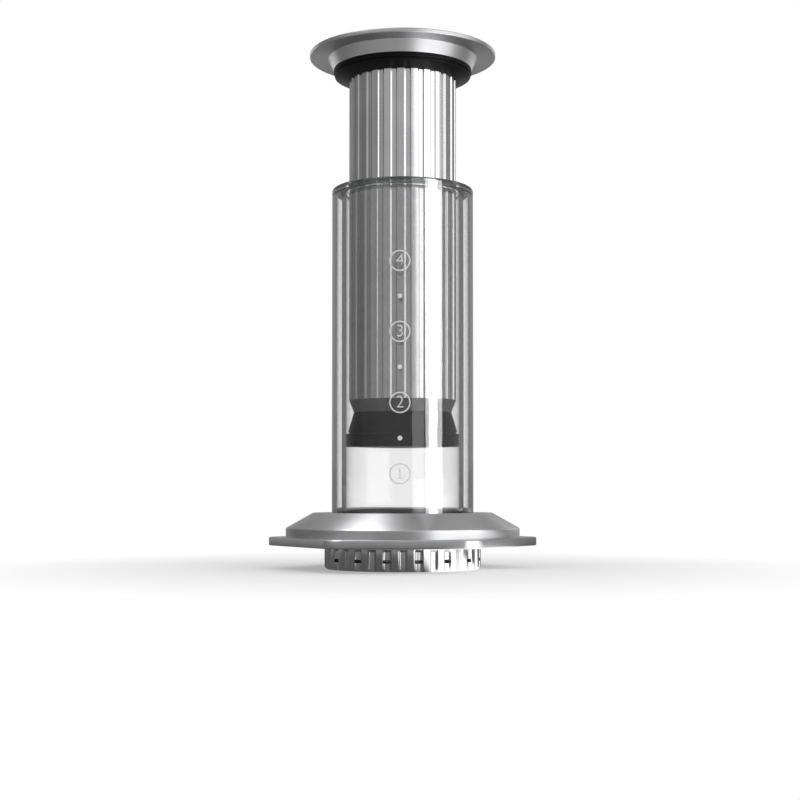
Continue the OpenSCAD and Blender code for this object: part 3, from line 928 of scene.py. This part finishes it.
def floor():
    """White but for the shadow to the camera. In reflections it glows grey, painted shade with a painted
    pool of light towards the softbox.
    """
    clear_selection()
    bpy.ops.mesh.primitive_circle_add(vertices=FLOOR_STEPS, radius=FLOOR_R, fill_type="NGON",
                                      location=(0, 0, cap_low))
    ground = new_piece("floor")
    bpy.ops.object.mode_set(mode="OBJECT")
    finish, shader = new_finish("pale_floor")
    shader.inputs["Base Color"].default_value = (0.9, 0.9, 0.9, 1)
    shader.inputs["Roughness"].default_value = 0.9
    place = add_node(finish, "ShaderNodeTexCoord")
    path, seen = sees_straight(finish)

    glow = add_node(finish, "ShaderNodeEmission", {"Color": (1, 1, 1, 1), "Strength": 1})
    away = add_node(finish, "ShaderNodeVectorMath", operation="LENGTH")
    fade = add_node(finish, "ShaderNodeMapRange", {"From Min": SHADOW_NEAR, "From Max": SHADOW_FAR,
                                                   "To Min": SHADOW_WHITE})
    whiten = add_node(finish, "ShaderNodeMath", operation="MULTIPLY")
    white_mix = add_node(finish, "ShaderNodeMixShader")
    join(finish, place.outputs["Object"], away.inputs[0])
    join(finish, away.outputs["Value"], fade.inputs["Value"])
    join(finish, fade.outputs["Result"], whiten.inputs[0])
    join(finish, seen, whiten.inputs[1])
    join(finish, whiten.outputs["Value"], white_mix.inputs["Fac"])
    join(finish, shader.outputs["BSDF"], white_mix.inputs[1])
    join(finish, glow.outputs["Emission"], white_mix.inputs[2])

    # Painted light: to glossy rays the floor is an emission, darker behind, lighter in front and in the
    # glass, with a painted pool towards the softbox
    mirrored = add_node(finish, "ShaderNodeEmission")
    axes = add_node(finish, "ShaderNodeSeparateXYZ")
    forward = add_node(finish, "ShaderNodeMath", operation="SUBTRACT")
    front = add_node(finish, "ShaderNodeMapRange", {"From Min": 0.25, "From Max": 0.4,
                                                    "To Min": FLOOR_BEHIND, "To Max": FLOOR_IN_FRONT})
    outwards = add_node(finish, "ShaderNodeVectorMath", operation="NORMALIZE")
    to_lamp = add_node(finish, "ShaderNodeVectorMath", {1: PAINTED_POOL_WAY}, operation="DOT_PRODUCT")
    painted_pool = add_node(finish, "ShaderNodeMapRange", {"From Min": 0.8, "From Max": 0.9, "To Max": PAINTED_POOL_GREY})
    in_glass = add_node(finish, "ShaderNodeMath", {1: GLASS_FACES}, operation="GREATER_THAN")
    lighter = add_node(finish, "ShaderNodeMath", {1: FLOOR_IN_GLASS}, operation="MULTIPLY")
    grey = add_node(finish, "ShaderNodeMath", operation="MAXIMUM")
    glossy = add_node(finish, "ShaderNodeMath", {1: 0.5}, operation="GREATER_THAN")
    mirror_mix = add_node(finish, "ShaderNodeMixShader")
    join(finish, place.outputs["Object"], axes.inputs["Vector"])
    join(finish, away.outputs["Value"], forward.inputs[0])
    join(finish, axes.outputs["Y"], forward.inputs[1])
    join(finish, forward.outputs["Value"], front.inputs["Value"])
    join(finish, path.outputs["Transmission Depth"], in_glass.inputs[0])
    join(finish, in_glass.outputs["Value"], lighter.inputs[0])
    join(finish, front.outputs["Result"], grey.inputs[0])
    join(finish, lighter.outputs["Value"], grey.inputs[1])
    join(finish, grey.outputs["Value"], painted_pool.inputs["To Min"])
    join(finish, place.outputs["Object"], outwards.inputs[0])
    join(finish, outwards.outputs["Vector"], to_lamp.inputs[0])
    join(finish, to_lamp.outputs["Value"], painted_pool.inputs["Value"])
    join(finish, painted_pool.outputs["Result"], mirrored.inputs["Color"])
    join(finish, path.outputs["Glossy Depth"], glossy.inputs[0])
    join(finish, glossy.outputs["Value"], mirror_mix.inputs["Fac"])
    join(finish, white_mix.outputs["Shader"], mirror_mix.inputs[1])
    join(finish, mirrored.outputs["Emission"], mirror_mix.inputs[2])
    surface = finish.node_tree.nodes["Material Output"].inputs["Surface"]
    join(finish, mirror_mix.outputs["Shader"], surface)
    ground.data.materials.append(finish)


def softbox(name, place, width, height, brightness, only=(), never=()):
    """A rectangular lamp, as bright as its face, kept to some pieces or off them, and unseen itself."""
    bpy.ops.object.light_add(type="AREA", location=place)
    lamp = bpy.context.object
    lamp.name = lamp.data.name = name
    lamp.rotation_euler = (Vector(place) - Vector(MIDDLE)).to_track_quat("Z", "Y").to_euler()
    lamp.data.shape = "RECTANGLE"
    lamp.data.size = width
    lamp.data.size_y = height
    lamp.data.energy = brightness * math.pi * width * height
    lamp.visible_camera = False
    if only or never:
        group = bpy.data.collections.new(name + "_pieces")
        for piece in only or never:
            group.objects.link(bpy.data.objects[piece])
        for entry in group.collection_objects:
            entry.light_linking.link_state = "INCLUDE" if only else "EXCLUDE"
        lamp.light_linking.receiver_collection = group
    return lamp


def glass_light(lamp, operation, faces):
    """Keeps a lamp of the glass to light that has gone through fewer or more of its faces."""
    lamp.data.use_nodes = True
    path = add_node(lamp.data, "ShaderNodeLightPath")
    chosen = add_node(lamp.data, "ShaderNodeMath", {1: faces}, operation=operation)
    join(lamp.data, path.outputs["Transmission Depth"], chosen.inputs[0])
    join(lamp.data, chosen.outputs["Value"], lamp.data.node_tree.nodes["Emission"].inputs["Strength"])


def strip_light(name, turn, width, brightness):
    """An upright strip of light in the outer face of the glass, in degrees right of the front."""
    place = (math.sin(math.radians(turn)), -math.cos(math.radians(turn)), 0.4)
    glass_light(softbox(name, place, width, 1.4, brightness, only=["glass_walls"]), "LESS_THAN", 0.5)


def grey_along(world, axis, stops):
    """Greys at stops along one axis of the surroundings, 0 at its negative end and 1 at its positive."""
    along = add_node(world, "ShaderNodeMapRange", {"From Min": -1, "From Max": 1})
    ramp = add_node(world, "ShaderNodeValToRGB")
    for stop in stops[1:-1]:
        ramp.color_ramp.elements.new(stop[0])
    for stop, (position, grey) in zip(ramp.color_ramp.elements, stops):
        stop.position = position
        stop.color = (grey, grey, grey, 1)
    join(world, axis, along.inputs["Value"])
    join(world, along.outputs["Result"], ramp.inputs["Fac"])
    return ramp.outputs["Color"]


def studio():
    """White to the camera and straight through glass, and grey surroundings to everything else."""
    world = bpy.data.worlds.new("studio")
    bpy.context.scene.world = world
    world.use_nodes = True
    around = world.node_tree.nodes["Background"]
    white = add_node(world, "ShaderNodeBackground", {"Color": (1, 1, 1, 1), "Strength": 1})
    place = add_node(world, "ShaderNodeTexCoord")
    axes = add_node(world, "ShaderNodeSeparateXYZ")
    mix = add_node(world, "ShaderNodeMixShader")
    path, seen = sees_straight(world)
    above = add_node(world, "ShaderNodeMapRange", {"From Min": 0.3, "From Max": 0.6,
                                                   "To Min": 1, "To Max": 1.35})
    level = add_node(world, "ShaderNodeMath", operation="MULTIPLY")
    in_glass = add_node(world, "ShaderNodeMath", {1: GLASS_FACES / 2, 2: GLASS_FACES / 2 - 0.5},
                        operation="COMPARE")
    mirrored = add_node(world, "ShaderNodeMapRange", {"To Min": 1, "To Max": GLASS_MIRROR})
    strength = add_node(world, "ShaderNodeMath", operation="MULTIPLY")
    backdrop = add_node(world, "ShaderNodeMath", {1: BACKDROP_TOP}, operation="LESS_THAN")
    whiten = add_node(world, "ShaderNodeMath", operation="MULTIPLY")
    join(world, place.outputs["Generated"], axes.inputs["Vector"])
    join(world, axes.outputs["Z"], above.inputs["Value"])
    join(world, axes.outputs["Z"], backdrop.inputs[0])
    join(world, grey_along(world, axes.outputs["X"], SIDES), level.inputs[0])
    join(world, above.outputs["Result"], level.inputs[1])
    join(world, path.outputs["Transmission Depth"], in_glass.inputs[0])
    join(world, in_glass.outputs["Value"], mirrored.inputs["Value"])
    join(world, level.outputs["Value"], strength.inputs[0])
    join(world, mirrored.outputs["Result"], strength.inputs[1])
    join(world, grey_along(world, axes.outputs["Y"], SURROUNDINGS), around.inputs["Color"])
    join(world, strength.outputs["Value"], around.inputs["Strength"])
    join(world, seen, whiten.inputs[0])
    join(world, backdrop.outputs["Value"], whiten.inputs[1])
    join(world, whiten.outputs["Value"], mix.inputs["Fac"])
    join(world, around.outputs["Background"], mix.inputs[1])
    join(world, white.outputs["Background"], mix.inputs[2])
    join(world, mix.outputs["Shader"], world.node_tree.nodes["World Output"].inputs["Surface"])


camera()
floor()
studio()
softbox("front_fill", (0, -1.5, 0.5), 3.0, 2.0, 0.1,
        never=["glass_walls", "silicone_bumper", "clamp_collar", "hexagon_flange", "fluted_cap"])
softbox("right_fill", (1.03, -0.62, 0.45), 2.0, 1.5, 0.4, never=["glass_walls", "silicone_bumper"])
right_softbox = ((0.85, -0.6, 0.35), 1.1, 1.4, 1.3)
softbox("right_softbox", *right_softbox, never=["glass_walls", "turned_plate"])
softbox("plate_light", *right_softbox[:3], 0.6, only=["turned_plate"])
glass_light(softbox("right_softbox_inside", *right_softbox, only=["glass_walls"]),
            "GREATER_THAN", GLASS_FACES)
softbox("top_softbox", (-0.5, -0.2, 1.3), 0.6, 1.0, 1.7)
softbox("collar_light", (-0.44, 0, 1.12), 0.4, 0.4, 11, only=["clamp_collar", "hexagon_flange"])
softbox("left_kicker", (-0.75, 0.95, 0.3), 0.8, 0.6, 0.65, only=["turned_plate"])
softbox("right_kicker", (0.75, 0.95, 0.3), 0.8, 0.6, 0.5, only=["turned_plate", "clamp_collar"])
softbox("flange_fill", (-0.95, 0.55, 0.15), 0.8, 0.8, 0.18, only=["hexagon_flange"])
softbox("cap_fill", (-0.95, 0.55, 0.15), 0.8, 0.8, 0.8, only=["fluted_cap"])
softbox("cap_light", (0.64, -0.77, 0.2), 0.5, 0.6, 2, only=["fluted_cap", "hexagon_flange"])
strip_light("strip_core", 49.5, 0.27, 26)
strip_light("strip_sides", 51.3, 0.55, 12)
strip_light("strip_shoulder", 24.5, 0.35, 2.5)

bpy.context.scene.view_settings.view_transform = "Standard"
